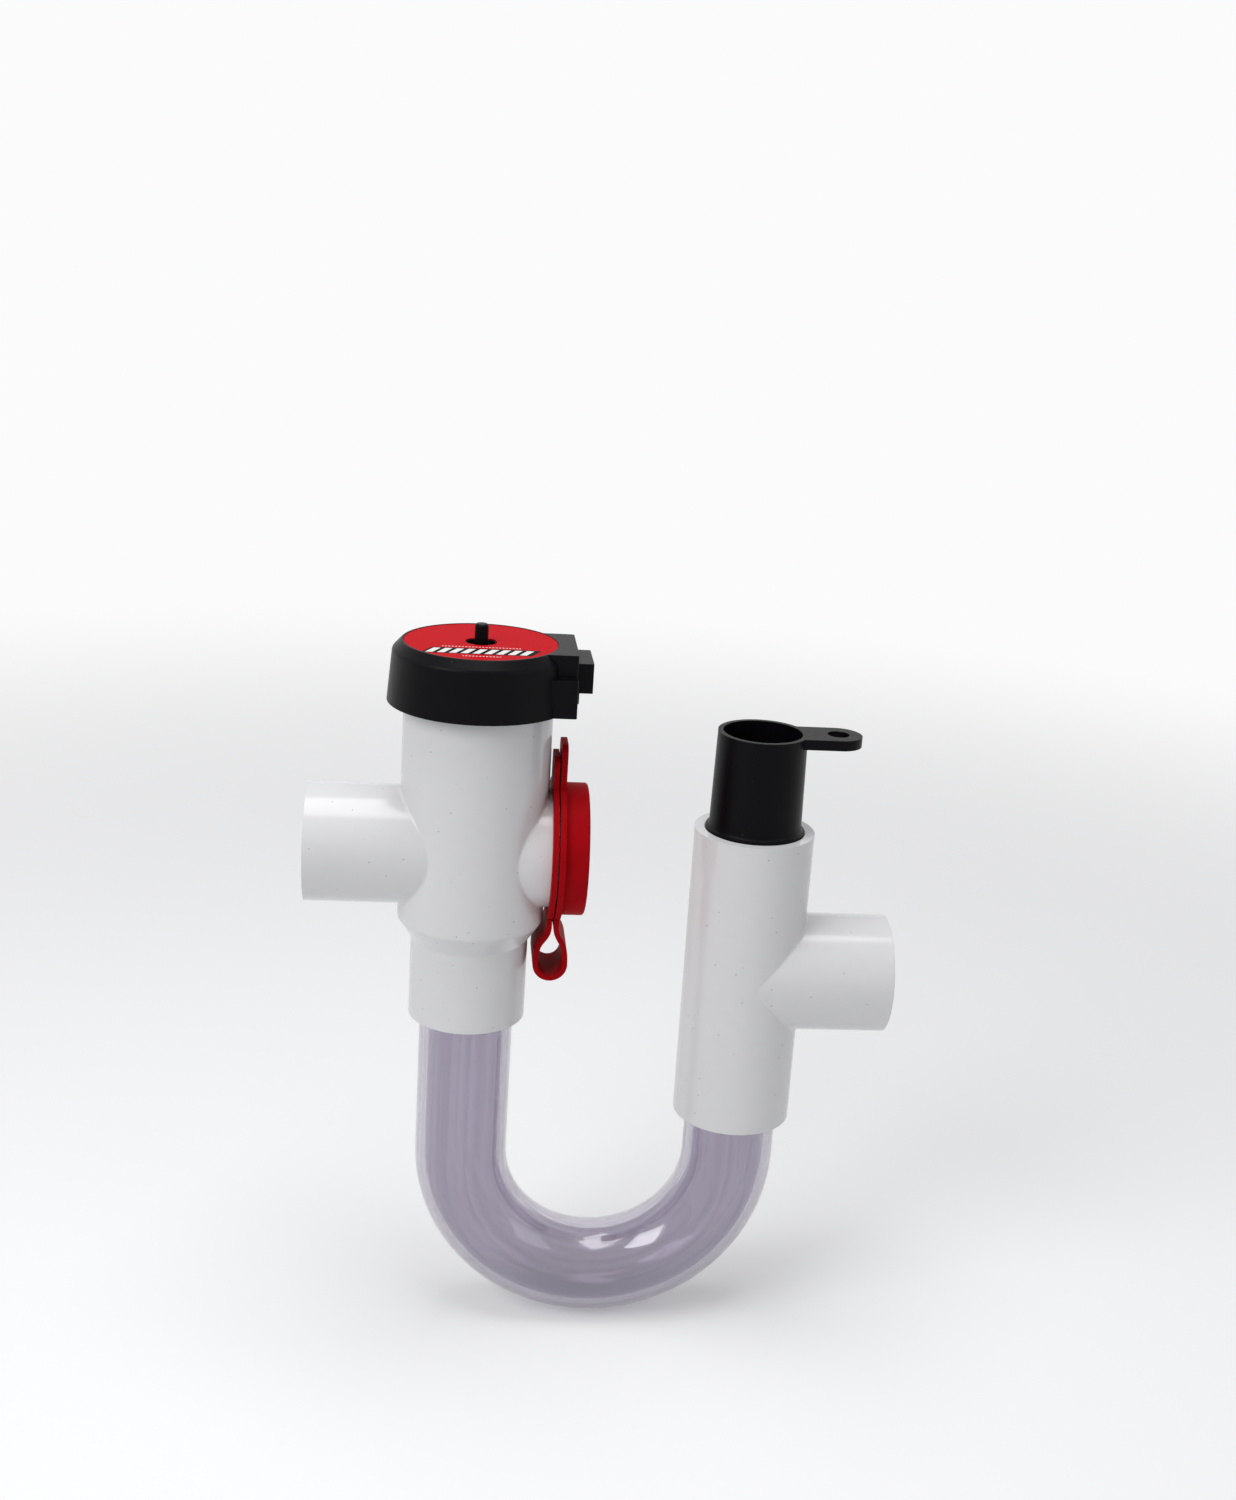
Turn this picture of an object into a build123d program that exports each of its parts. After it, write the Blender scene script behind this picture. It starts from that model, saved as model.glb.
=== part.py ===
from build123d import *
import math
import os

# Condensate trap for three-quarter inch drain pipe, in millimetres.
# An inlet cross with an upright float chamber, a clear U-bend, an outlet tee with a
# push-in vent tube, a tethered cleanout cap, and a float switch that lifts off the chamber.
# Frame: origin on the inlet socket's axis where its bore begins, just inside the lead-in
# chamfer, +X from inlet to outlet, +Z up, and the whole trap lies in the XZ plane.

# Drain pipe and the sockets that take it
pipe_od = 26.67
pipe_wall = 2.87
socket_clearance = 0.10
socket_depth = 21.0
stop_gap = 0.30
mouth_chamfer = 0.8

# Inlet cross
socket_wall = 3.1
inlet_reach = 46.0
port_reach = 29.5
chamber_od = 41.0
chamber_wall = 3.0
chamber_rise = 48.0
chamber_drop = 20.5
cone_height = 6.0
throat_length = 2.5
shoulder_blend = 1.6
saddle_blend = 0.8
seam_turn = 30.0

# U-bend
leg_spacing = 79.0
leg_show = 13.5

# Outlet tee
tee_wall = 3.5
branch_drop = 35.4
branch_reach = 40.8
tee_rise = 43.0
tee_fall = 44.4
branch_step = 0.1
tee_blend = 1.0

# Vent tube
vent_end_gap = 1.0
vent_stand = 28.5
vent_base_od = 26.0
vent_tip_od = 25.0
vent_tip_wall = 1.4
vent_plug_wall = 2.25
vent_collar_flare = 0.9
vent_collar_height = 0.6
vent_clearance = 0.05
vent_edge = 0.4
tab_hole_reach = 21.3
tab_hole = 6.2
tab_width = 13.4
tab_thickness = 2.9

# Cleanout cap, moulded in one piece with its tether ring and strap
cap_fit = 0.08
cleanout_wall = 2.0
cleanout_end = 1.6
flange_overhang = 1.4
flange_thickness = 1.7
ring_thickness = 1.5
ring_gap = 0.4
ring_loose = 0.4
strap_width = 16.0
strap_thickness = 1.5
loop_radius = 4.15
loop_gap = 1.35
loop_widest = 12.0
loop_shoulder = 0.8
loop_neck = 0.5
pull_tab_width = 12.0
ring_tab_rise = 8.0
flange_tab_rise = 11.5
tab_corner = 3.0

# Switch cap
skirt_gap = 2.5
cap_wall = 2.0
cap_draft = 1.1
cap_height = 16.6
cap_bevel = 2.6
cap_bevel_inset = 2.4
bevel_foot_blend = 1.6
bevel_edge_blend = 0.6
cap_roof = 2.4
cap_overlap = 6.3
rim_gap = 0.30
rib_count = 12
rib_thickness = 1.2
rib_clearance = 0.30
spigot_clearance = 0.30
spigot_wall = 2.4
spigot_length = 8.3
seal_section = 1.5
seal_squeeze_gap = 0.10
seal_groove_width = 2.0
seal_rise = 3.0

# Connector block on the side of the cap
block_stand = 0.9
block_width = 31.0
block_step = 6.2
block_top_width = 25.0
block_round = 0.8
shroud_stand = 4.4
socket_width = 16.0
socket_height = 11.2
socket_lift = 2.2
shroud_wall = 1.5
shroud_gap = 0.7
notch_width = 3.6
notch_height = 3.0

# Label on the cap
label_rim = 0.7
label_hole_gap = 0.3
label_thickness = 0.3
label_recess = 0.4
label_margin = 0.15

# Float and its rod
rod_diameter = 3.7
rod_clearance = 0.08
rod_stand = 4.9
rod_end_gap = 2.0
guide_od = 9.6
well_diameter = 8.0
well_depth = 2.0
float_travel = 11.0
float_gap = 2.5
float_height = 15.5
float_round = 2.5
float_margin = 2.5
magnet_ring_width = 3.1
magnet_height = 4.0
magnet_clearance = 0.1
clip_thickness = 0.6
clip_reach = 1.75
clip_groove = 0.4
clip_play = 0.05

# Switch parts under the cap
cover_thickness = 1.6
cover_clearance = 0.2
screw_count = 3
screw_inset = 3.3
screw_diameter = 2.0
screw_length = 7.0
screw_head = 4.0
screw_head_height = 1.4
screw_clearance = 0.1
post_diameter = 5.0
board_thickness = 1.2
board_width = 12.0
board_height = 11.0
pin_pitch = 5.08
pin_size = 1.0
pin_clearance = 0.1
pin_end_gap = 1.4
pin_drop = 0.8
reed_diameter = 2.4
reed_length = 7.0
reed_lead = 0.6
reed_standoff = 0.3
reed_gap = 0.5

# Values worked out from the driving sizes
pipe_radius = pipe_od / 2
water_radius = pipe_radius - pipe_wall
socket_radius = pipe_radius + socket_clearance
arm_radius = socket_radius + socket_wall
tee_radius = socket_radius + tee_wall
chamber_radius = chamber_od / 2
chamber_bore = chamber_radius - chamber_wall
inlet_mouth_x = -mouth_chamfer
chamber_x = inlet_mouth_x + inlet_reach
port_mouth = chamber_x + port_reach
tee_x = chamber_x + leg_spacing
bend_radius = leg_spacing / 2
throat_top = -chamber_drop - cone_height
bottom_stop = throat_top - throat_length
bottom_reach = socket_depth - bottom_stop
tee_top = tee_rise - branch_drop
tee_bottom = -branch_drop - tee_fall
tee_lower_stop = tee_bottom + socket_depth
bend_drop = leg_show - tee_bottom
cap_bottom = chamber_rise - cap_overlap + rim_gap
cap_top = cap_bottom + cap_height
roof_under = cap_top - cap_roof
rib_seat = chamber_rise + rim_gap
spigot_radius = chamber_bore - spigot_clearance
spigot_bore = spigot_radius - spigot_wall
spigot_bottom = rib_seat - spigot_length
skirt_radius = chamber_radius + skirt_gap
cover_top = spigot_bottom + cover_thickness
rod_radius = rod_diameter / 2
rod_top = cap_top + rod_stand
well_floor = cap_top - well_depth
float_top = spigot_bottom - screw_head_height - float_travel - float_margin
float_bottom = float_top - float_height
float_radius = chamber_bore - float_gap
shroud_height = cap_bottom + socket_lift + socket_height / 2
pin_height = shroud_height - pin_drop
screw_circle = spigot_bore - screw_inset
reed_x = chamber_x + guide_od / 2 + reed_gap + reed_diameter / 2
board_face = reed_x + reed_diameter / 2 + reed_standoff
screw_angles = [360 / screw_count * (i + 0.5) for i in range(screw_count)]
rib_angles = [360 / rib_count * (i + 0.5) for i in range(rib_count)]

chamber_axis = Axis((chamber_x, 0, 0), (0, 0, 1))
tee_axis = Axis((tee_x, 0, 0), (0, 0, 1))


def at_chamber(height):
    """Plane across the float chamber at a height above the inlet axis."""
    return Plane.XY.offset(height).move(Location((chamber_x, 0, 0)))


def at_tee(height):
    """Plane across the outlet tee at a height above the inlet axis."""
    return Plane.XY.offset(height).move(Location((tee_x, 0, 0)))


def across(reach, height=0.0):
    """Plane facing +X, at a reach from the inlet mouth and a height."""
    return Plane(origin=(reach, 0, height), x_dir=(0, 1, 0), z_dir=(1, 0, 0))


def on_circle(radius, angle):
    """Point at an angle on a circle."""
    turn = math.radians(angle)
    return (radius * math.cos(turn), radius * math.sin(turn))


def radial(angle):
    """Upright plane through the chamber axis, reaching out at an angle."""
    turn = math.radians(angle)
    return Plane(
        origin=(chamber_x, 0, 0),
        x_dir=(math.cos(turn), math.sin(turn), 0),
        z_dir=(math.sin(turn), -math.cos(turn), 0),
    )


os.makedirs("parts", exist_ok=True)


# Inlet cross: upright chamber, inlet socket, cleanout port and bottom socket in one moulding.
# Its sections are turned, so that the seams of the round faces miss the arms' middle planes.
with BuildPart() as inlet_cross:
    with BuildSketch(radial(seam_turn)) as chamber_section:
        with BuildLine():
            Polyline(
                (0, chamber_rise),
                (chamber_radius, chamber_rise),
                (chamber_radius, -chamber_drop),
                (arm_radius, throat_top),
                (arm_radius, -bottom_reach),
                (0, -bottom_reach),
                close=True,
            )
        make_face()
    revolve(axis=chamber_axis)
    shoulder_rings = inlet_cross.edges().filter_by(GeomType.CIRCLE).filter_by_position(
        Axis.Z, throat_top - shoulder_blend, -chamber_drop + shoulder_blend
    )
    fillet(shoulder_rings, shoulder_blend)
    with BuildSketch(across(inlet_mouth_x)):
        Circle(arm_radius)
    extrude(amount=inlet_reach + port_reach)
    saddles = inlet_cross.edges().filter_by(GeomType.BSPLINE)
    fillet(saddles, saddle_blend)
    # Chamber bore with a funnel floor, the throat, and the three sockets
    with BuildSketch(radial(seam_turn)) as water_section:
        with BuildLine():
            Polyline(
                (0, chamber_rise),
                (chamber_bore, chamber_rise),
                (chamber_bore, -chamber_drop + chamber_wall),
                (water_radius, throat_top + chamber_wall),
                (water_radius, bottom_stop),
                (socket_radius, bottom_stop),
                (socket_radius, -bottom_reach),
                (0, -bottom_reach),
                close=True,
            )
        make_face()
    revolve(axis=chamber_axis, mode=Mode.SUBTRACT)
    with BuildSketch(across(inlet_mouth_x)):
        Circle(water_radius)
    extrude(amount=inlet_reach + port_reach, mode=Mode.SUBTRACT)
    with BuildSketch(across(inlet_mouth_x)):
        Circle(socket_radius)
    extrude(amount=socket_depth, mode=Mode.SUBTRACT)
    with BuildSketch(across(port_mouth)):
        Circle(socket_radius)
    extrude(amount=-(port_reach - chamber_radius), mode=Mode.SUBTRACT)
    # Lead-in chamfers round the mouths
    inlet_mouth = inlet_cross.edges().filter_by(GeomType.CIRCLE).group_by(Axis.X)[0]
    chamfer(inlet_mouth.sort_by(SortBy.LENGTH)[0], mouth_chamfer)
    lower_mouth = inlet_cross.edges().filter_by(GeomType.CIRCLE).group_by(Axis.Z)[0]
    chamfer(lower_mouth.sort_by(SortBy.LENGTH)[0], mouth_chamfer)
    chamber_mouth = inlet_cross.edges().filter_by(GeomType.CIRCLE).group_by(Axis.Z)[-1]
    chamfer(chamber_mouth.sort_by(SortBy.LENGTH)[0], mouth_chamfer)
inlet_cross.part.label = "inlet_cross"
export_step(inlet_cross.part, "parts/inlet_cross.step")


# U-bend: clear pipe, two straight legs joined by a half circle
with BuildPart() as u_bend:
    with BuildLine(Plane.XZ) as bend_path:
        left_leg = Line((chamber_x, bottom_stop - stop_gap), (chamber_x, -bend_drop))
        half_turn = CenterArc((chamber_x + bend_radius, -bend_drop), bend_radius, 180, 180)
        right_leg = Line((tee_x, -bend_drop), (tee_x, tee_lower_stop - stop_gap))
    with BuildSketch(at_chamber(bottom_stop - stop_gap)):
        Circle(pipe_radius)
        Circle(pipe_radius - pipe_wall, mode=Mode.SUBTRACT)
    sweep(path=bend_path.wire())
u_bend.part.label = "u_bend"
export_step(u_bend.part, "parts/u_bend.step")


# Outlet tee: upright run with a socket at each end and the outlet socket on its side
with BuildPart() as outlet_tee:
    with BuildSketch(at_tee(tee_bottom)):
        Circle(tee_radius)
    extrude(amount=tee_rise + tee_fall)
    with BuildSketch(across(tee_x, -branch_drop)):
        Circle(tee_radius - branch_step)
    extrude(amount=branch_reach)
    branch_seams = outlet_tee.edges().filter_by(GeomType.CIRCLE, reverse=True)
    branch_seams = branch_seams.filter_by(GeomType.LINE, reverse=True)
    fillet(branch_seams, tee_blend)
    with BuildSketch(at_tee(tee_bottom)):
        Circle(water_radius)
    extrude(amount=tee_rise + tee_fall, mode=Mode.SUBTRACT)
    with BuildSketch(across(tee_x, -branch_drop)):
        Circle(water_radius)
    extrude(amount=branch_reach, mode=Mode.SUBTRACT)
    with BuildSketch(at_tee(tee_bottom)):
        Circle(socket_radius)
    extrude(amount=socket_depth, mode=Mode.SUBTRACT)
    with BuildSketch(at_tee(tee_top)):
        Circle(socket_radius)
    extrude(amount=-socket_depth, mode=Mode.SUBTRACT)
    with BuildSketch(across(tee_x + branch_reach, -branch_drop)):
        Circle(socket_radius)
    extrude(amount=-socket_depth, mode=Mode.SUBTRACT)
    tee_circles = outlet_tee.edges().filter_by(GeomType.CIRCLE)
    for mouth in (
        tee_circles.group_by(Axis.Z)[-1],
        tee_circles.group_by(Axis.Z)[0],
        tee_circles.group_by(Axis.X)[-1],
    ):
        chamfer(mouth.sort_by(SortBy.LENGTH)[0], mouth_chamfer)
outlet_tee.part.label = "outlet_tee"
export_step(outlet_tee.part, "parts/outlet_tee.step")


# Vent tube: tapered black tube that plugs into the top of the tee, with an eyelet tab
vent_plug_radius = socket_radius - vent_clearance
vent_base_radius = vent_base_od / 2
vent_tip_radius = vent_tip_od / 2
vent_bore_radius = vent_tip_radius - vent_tip_wall
plug_bore_radius = vent_plug_radius - vent_plug_wall
vent_top = tee_top + vent_stand
vent_bottom = tee_top - socket_depth + vent_end_gap
collar_radius = vent_base_radius + vent_collar_flare
collar_top = tee_top + vent_collar_height
with BuildPart() as vent_tube:
    with BuildSketch(Plane.XZ) as vent_section:
        with BuildLine():
            Polyline(
                (tee_x + vent_base_radius, collar_top + vent_collar_flare),
                (tee_x + vent_tip_radius, vent_top),
                (tee_x + vent_bore_radius, vent_top),
                (tee_x + plug_bore_radius, vent_bottom),
                (tee_x + vent_plug_radius, vent_bottom),
                (tee_x + vent_plug_radius, tee_top),
                (tee_x + collar_radius, tee_top),
                (tee_x + collar_radius, collar_top),
            )
            RadiusArc(
                (tee_x + collar_radius, collar_top),
                (tee_x + vent_base_radius, collar_top + vent_collar_flare),
                vent_collar_flare,
            )
        make_face()
    revolve(axis=tee_axis)
    with BuildSketch(at_tee(vent_top - tab_thickness)) as tab_outline:
        with Locations((tab_hole_reach, 0)):
            Circle(tab_width / 2)
        with Locations((tab_hole_reach / 2, 0)):
            Rectangle(tab_hole_reach, tab_width)
        Circle(vent_tip_radius - vent_tip_wall / 2, mode=Mode.SUBTRACT)
        with Locations((tab_hole_reach, 0)):
            Circle(tab_hole / 2, mode=Mode.SUBTRACT)
    extrude(amount=tab_thickness)
    plug_end = vent_tube.edges().filter_by(GeomType.CIRCLE).group_by(Axis.Z)[0]
    chamfer(plug_end.sort_by(SortBy.LENGTH)[-1], vent_edge)
vent_tube.part.label = "vent_tube"
export_step(vent_tube.part, "parts/vent_tube.step")


# Cleanout cap: cap, tether ring and hanging strap loop in one soft moulding
ring_near = chamber_x + chamber_radius + saddle_blend
ring_far = ring_near + ring_thickness
flange_near = ring_far + ring_gap
flange_far = flange_near + flange_thickness
cap_bore = arm_radius + cap_fit
crown_radius = cap_bore + cleanout_wall
crown_inside = port_mouth + stop_gap
crown_far = crown_inside + cleanout_end
flange_radius = crown_radius + flange_overhang
strap_left = ring_far - strap_thickness / 2
strap_right = flange_near + strap_thickness / 2
loop_left = chamber_x + arm_radius + loop_gap + strap_thickness / 2
loop_x = loop_left + loop_radius
loop_height = -flange_radius - loop_widest
neck = -flange_radius - loop_neck
shoulder_height = (loop_height + neck) / 2
strap_start = strap_thickness - flange_radius
with BuildPart() as cleanout_cap:
    with BuildSketch(Plane.XZ.rotated((seam_turn, 0, 0))) as cap_section:
        with BuildLine():
            Polyline(
                (flange_near, cap_bore),
                (flange_near, flange_radius),
                (flange_far, flange_radius),
                (flange_far, crown_radius),
                (crown_far, crown_radius),
                (crown_far, 0),
                (crown_inside, 0),
                (crown_inside, cap_bore),
                close=True,
            )
        make_face()
    revolve(axis=Axis.X)
    crown_edge = cleanout_cap.edges().filter_by(GeomType.CIRCLE).group_by(Axis.X)[-1]
    fillet(crown_edge, cleanout_end / 2)
    with BuildSketch(across(flange_near)) as flange_tab:
        with Locations((0, (flange_radius + flange_tab_rise) / 2)):
            RectangleRounded(pull_tab_width, flange_radius + flange_tab_rise, tab_corner)
        Circle(crown_radius, mode=Mode.SUBTRACT)
    extrude(amount=flange_thickness)
    with BuildSketch(across(ring_near)) as tether_ring:
        Circle(flange_radius)
        with Locations((0, (flange_radius + ring_tab_rise) / 2)):
            RectangleRounded(pull_tab_width, flange_radius + ring_tab_rise, tab_corner)
        Circle(arm_radius + ring_loose, mode=Mode.SUBTRACT)
    extrude(amount=ring_thickness)
    with BuildLine(Plane.XZ) as strap_path:
        Line((strap_left, strap_start), (strap_left, neck))
        Spline(
            (strap_left, neck),
            (loop_x - loop_shoulder * loop_radius, shoulder_height),
            (loop_left, loop_height),
            tangents=((0, -1), (0, -1)),
        )
        CenterArc((loop_x, loop_height), loop_radius, 180, 180)
        Spline(
            (loop_x + loop_radius, loop_height),
            (loop_x + loop_shoulder * loop_radius, shoulder_height),
            (strap_right, neck),
            tangents=((0, 1), (0, 1)),
        )
        Line((strap_right, neck), (strap_right, strap_start))
    with BuildSketch(Plane.XY.offset(strap_start)) as strap_section:
        with Locations((strap_left, 0)):
            Rectangle(strap_thickness, strap_width)
    sweep(path=strap_path.wire())
cleanout_cap.part.label = "cleanout_cap"
export_step(cleanout_cap.part, "parts/cleanout_cap.step")


# Switch cap: moulded shell with seal spigot, rod guide, ribs, posts and a connector block
cap_radius = skirt_radius + cap_wall
cap_top_radius = cap_radius - cap_draft
face_radius = cap_top_radius - cap_bevel_inset
label_radius = face_radius - label_rim
bevel_foot = cap_top - cap_bevel
skirt_top_radius = cap_top_radius - cap_wall
step_height = cap_top - block_step
block_reach = cap_radius + block_stand
block_start = skirt_radius * math.cos(math.asin(block_width / 2 / skirt_radius))
block_length = block_reach - block_start
socket_reach = block_reach + shroud_stand
shroud_back = chamber_radius + shroud_gap
pocket_length = block_length - cap_wall
seal_centre = chamber_bore - seal_squeeze_gap - seal_section / 2
groove_floor = seal_centre - seal_section / 2
groove_bottom = spigot_bottom + seal_rise
label_seat = cap_top - label_recess
with BuildPart() as switch_cap:
    with BuildSketch(Plane.XZ) as shell_section:
        with BuildLine():
            Polyline(
                (chamber_x, cap_bottom),
                (chamber_x + cap_radius, cap_bottom),
                (chamber_x + cap_top_radius, bevel_foot),
                (chamber_x + face_radius, cap_top),
                (chamber_x, cap_top),
                close=True,
            )
        make_face()
    revolve(axis=chamber_axis)
    cap_rings = switch_cap.edges().filter_by(GeomType.CIRCLE).group_by(Axis.Z)
    fillet(cap_rings[-2], bevel_foot_blend)
    fillet(switch_cap.edges().filter_by(GeomType.CIRCLE).group_by(Axis.Z)[-1], bevel_edge_blend)
    # Connector block: a wide lower step and a narrower top, level with the cap
    with BuildSketch(at_chamber(cap_bottom)) as lower_step:
        with Locations((block_start + block_length / 2, 0)):
            Rectangle(block_length, block_width)
        fillet(lower_step.vertices().group_by(Axis.X)[-1], block_round)
    extrude(amount=step_height - cap_bottom)
    with BuildSketch(at_chamber(step_height)) as upper_step:
        with Locations((block_start + block_length / 2, 0)):
            Rectangle(block_length, block_top_width)
        fillet(upper_step.vertices().group_by(Axis.X)[-1], block_round)
    extrude(amount=block_step)
    # Hollow of the cap and of the block, open below
    with BuildSketch(Plane.XZ) as hollow_section:
        with BuildLine():
            Polyline(
                (chamber_x, cap_bottom),
                (chamber_x + skirt_radius, cap_bottom),
                (chamber_x + skirt_top_radius, roof_under),
                (chamber_x, roof_under),
                close=True,
            )
        make_face()
    revolve(axis=chamber_axis, mode=Mode.SUBTRACT)
    with BuildSketch(at_chamber(cap_bottom)):
        with Locations((block_start + pocket_length / 2, 0)):
            Rectangle(pocket_length, block_width - 2 * cap_wall)
    extrude(amount=step_height - cap_roof - cap_bottom, mode=Mode.SUBTRACT)
    # Spigot that plugs into the chamber, with the groove for its seal
    with BuildSketch(at_chamber(spigot_bottom)):
        Circle(spigot_radius)
        Circle(spigot_bore, mode=Mode.SUBTRACT)
    extrude(amount=roof_under - spigot_bottom)
    with BuildSketch(at_chamber(groove_bottom)):
        Circle(spigot_radius)
        Circle(groove_floor, mode=Mode.SUBTRACT)
    extrude(amount=seal_groove_width, mode=Mode.SUBTRACT)
    # Rod guide and the posts for the cover screws
    with BuildSketch(at_chamber(spigot_bottom)):
        Circle(guide_od / 2)
    extrude(amount=roof_under - spigot_bottom)
    with BuildSketch(at_chamber(cover_top)):
        for angle in screw_angles:
            with Locations(on_circle(screw_circle, angle)):
                Circle(post_diameter / 2)
    extrude(amount=roof_under - cover_top)
    # Ribs: each rests on the chamber's rim and centres the skirt round it
    for angle in rib_angles:
        with BuildSketch(radial(angle)) as rib_outline:
            with BuildLine():
                Polyline(
                    (spigot_radius - spigot_wall / 2, roof_under),
                    (spigot_radius - spigot_wall / 2, rib_seat),
                    (chamber_radius + rib_clearance, rib_seat),
                    (chamber_radius + rib_clearance, cap_bottom + cap_wall),
                    (skirt_radius, cap_bottom + cap_wall),
                    (skirt_top_radius, roof_under),
                    close=True,
                )
            make_face()
        extrude(amount=rib_thickness / 2, both=True)
    # Shroud of the connector socket, closed at its back
    with BuildSketch(across(chamber_x + shroud_back, shroud_height)):
        Rectangle(socket_width, socket_height)
    extrude(amount=socket_reach - shroud_back)
    with BuildSketch(across(chamber_x + socket_reach, shroud_height)):
        Rectangle(socket_width - 2 * shroud_wall, socket_height - 2 * shroud_wall)
    extrude(amount=shroud_back + shroud_wall - socket_reach, mode=Mode.SUBTRACT)
    notch_low = shroud_height - socket_height / 2 + notch_height / 2
    with BuildSketch(across(chamber_x + socket_reach, notch_low)):
        Rectangle(socket_width, notch_height)
    extrude(amount=-notch_width, mode=Mode.SUBTRACT)
    # Holes for the contact pins, the screws and the rod, then the well and the label's seat
    with BuildSketch(across(chamber_x + spigot_bore - spigot_wall, pin_height)):
        with GridLocations(pin_pitch, 0, 2, 1):
            Rectangle(pin_size + 2 * pin_clearance, pin_size + 2 * pin_clearance)
    extrude(amount=shroud_back + 2 * shroud_wall - spigot_bore + spigot_wall, mode=Mode.SUBTRACT)
    with BuildSketch(at_chamber(cover_top)):
        for angle in screw_angles:
            with Locations(on_circle(screw_circle, angle)):
                Circle(screw_diameter / 2 + screw_clearance)
    extrude(amount=screw_length, mode=Mode.SUBTRACT)
    with BuildSketch(at_chamber(spigot_bottom)):
        Circle(rod_radius + rod_clearance)
    extrude(amount=cap_top - spigot_bottom, mode=Mode.SUBTRACT)
    with BuildSketch(at_chamber(well_floor)):
        Circle(well_diameter / 2)
    extrude(amount=well_depth, mode=Mode.SUBTRACT)
    with BuildSketch(at_chamber(label_seat)):
        Circle(label_radius + label_margin)
    extrude(amount=label_recess, mode=Mode.SUBTRACT)
switch_cap.part.label = "switch_cap"
export_step(switch_cap.part, "parts/switch_cap.step")


# Label: printed disc in the recess on the cap
with BuildPart() as cap_label:
    with BuildSketch(at_chamber(label_seat)):
        Circle(label_radius)
        Circle(well_diameter / 2 + label_hole_gap, mode=Mode.SUBTRACT)
    extrude(amount=label_thickness)
cap_label.part.label = "cap_label"
export_step(cap_label.part, "parts/cap_label.step")


# Seal: rubber ring in the spigot's groove
with BuildPart() as cap_seal:
    with BuildSketch(Plane.XZ):
        with Locations((chamber_x + seal_centre, groove_bottom + seal_groove_width / 2)):
            Circle(seal_section / 2)
    revolve(axis=chamber_axis)
cap_seal.part.label = "cap_seal"
export_step(cap_seal.part, "parts/cap_seal.step")


# Cover: disc that closes the switch space below
with BuildPart() as switch_cover:
    with BuildSketch(at_chamber(spigot_bottom)):
        Circle(spigot_bore - cover_clearance)
        Circle(guide_od / 2 + cover_clearance, mode=Mode.SUBTRACT)
        for angle in screw_angles:
            with Locations(on_circle(screw_circle, angle)):
                Circle(screw_diameter / 2 + screw_clearance, mode=Mode.SUBTRACT)
    extrude(amount=cover_thickness)
switch_cover.part.label = "switch_cover"
export_step(switch_cover.part, "parts/switch_cover.step")


# Cover screws, up through the cover into the posts
for number, angle in enumerate(screw_angles, start=1):
    with BuildPart() as cover_screw:
        head_plane = at_chamber(spigot_bottom)
        with BuildSketch(head_plane):
            with Locations(on_circle(screw_circle, angle)):
                Circle(screw_head / 2)
        extrude(amount=-screw_head_height)
        fillet(cover_screw.edges().group_by(Axis.Z)[0], screw_head_height / 2)
        with BuildSketch(head_plane):
            with Locations(on_circle(screw_circle, angle)):
                Circle(screw_diameter / 2)
        extrude(amount=screw_length)
    cover_screw.part.label = f"cover_screw_{number}"
    export_step(cover_screw.part, f"parts/cover_screw_{number}.step")


# Switch board: small plate that carries the reed switch on the contact pins
with BuildPart() as switch_board:
    with BuildSketch(across(board_face, pin_height)):
        Rectangle(board_width, board_height)
        with GridLocations(pin_pitch, 0, 2, 1):
            Rectangle(
                pin_size + 2 * pin_clearance, pin_size + 2 * pin_clearance, mode=Mode.SUBTRACT
            )
    extrude(amount=board_thickness)
switch_board.part.label = "switch_board"
export_step(switch_board.part, "parts/switch_board.step")


# Reed switch: glass capsule beside the rod guide, its two leads bent back to the board
reed_end = reed_length / 2
lead_bend = reed_end + 2 * reed_lead
with BuildPart() as reed_switch:
    with BuildSketch(Plane.XY.offset(pin_height - reed_end)):
        with Locations((reed_x, 0)):
            Circle(reed_diameter / 2)
    extrude(amount=reed_length)
    fillet(reed_switch.edges().filter_by(GeomType.CIRCLE), reed_diameter / 3)
    for side in (-1, 1):
        with BuildLine(Plane.XZ) as lead_path:
            FilletPolyline(
                (reed_x, pin_height + side * (reed_end - reed_lead)),
                (reed_x, pin_height + side * lead_bend),
                (board_face, pin_height + side * lead_bend),
                radius=reed_lead,
            )
        with BuildSketch(Plane.XY.offset(pin_height + side * (reed_end - reed_lead))):
            with Locations((reed_x, 0)):
                Circle(reed_lead / 2)
        sweep(path=lead_path.wire())
reed_switch.part.label = "reed_switch"
export_step(reed_switch.part, "parts/reed_switch.step")


# Contact pins, from the board out into the connector socket
pin_end = chamber_x + socket_reach - pin_end_gap
for number, side in enumerate((-1, 1), start=1):
    with BuildPart() as contact_pin:
        with BuildSketch(across(board_face, pin_height)):
            with Locations((side * pin_pitch / 2, 0)):
                Rectangle(pin_size, pin_size)
        extrude(amount=pin_end - board_face)
        chamfer(contact_pin.faces().sort_by(Axis.X)[-1].edges(), pin_size / 4)
    contact_pin.part.label = f"contact_pin_{number}"
    export_step(contact_pin.part, f"parts/contact_pin_{number}.step")


# Float: closed foam drum on the rod, with a pocket on top for the magnet
magnet_radius = rod_radius + rod_clearance + magnet_ring_width
with BuildPart() as float_body:
    with BuildSketch(at_chamber(float_bottom)):
        Circle(float_radius)
    extrude(amount=float_height)
    fillet(float_body.edges().filter_by(GeomType.CIRCLE), float_round)
    with BuildSketch(at_chamber(float_bottom)):
        Circle(rod_radius + rod_clearance)
    extrude(amount=float_height, mode=Mode.SUBTRACT)
    with BuildSketch(at_chamber(float_top)):
        Circle(magnet_radius + magnet_clearance)
    extrude(amount=-magnet_height, mode=Mode.SUBTRACT)
float_body.part.label = "float_body"
export_step(float_body.part, "parts/float_body.step")


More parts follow.
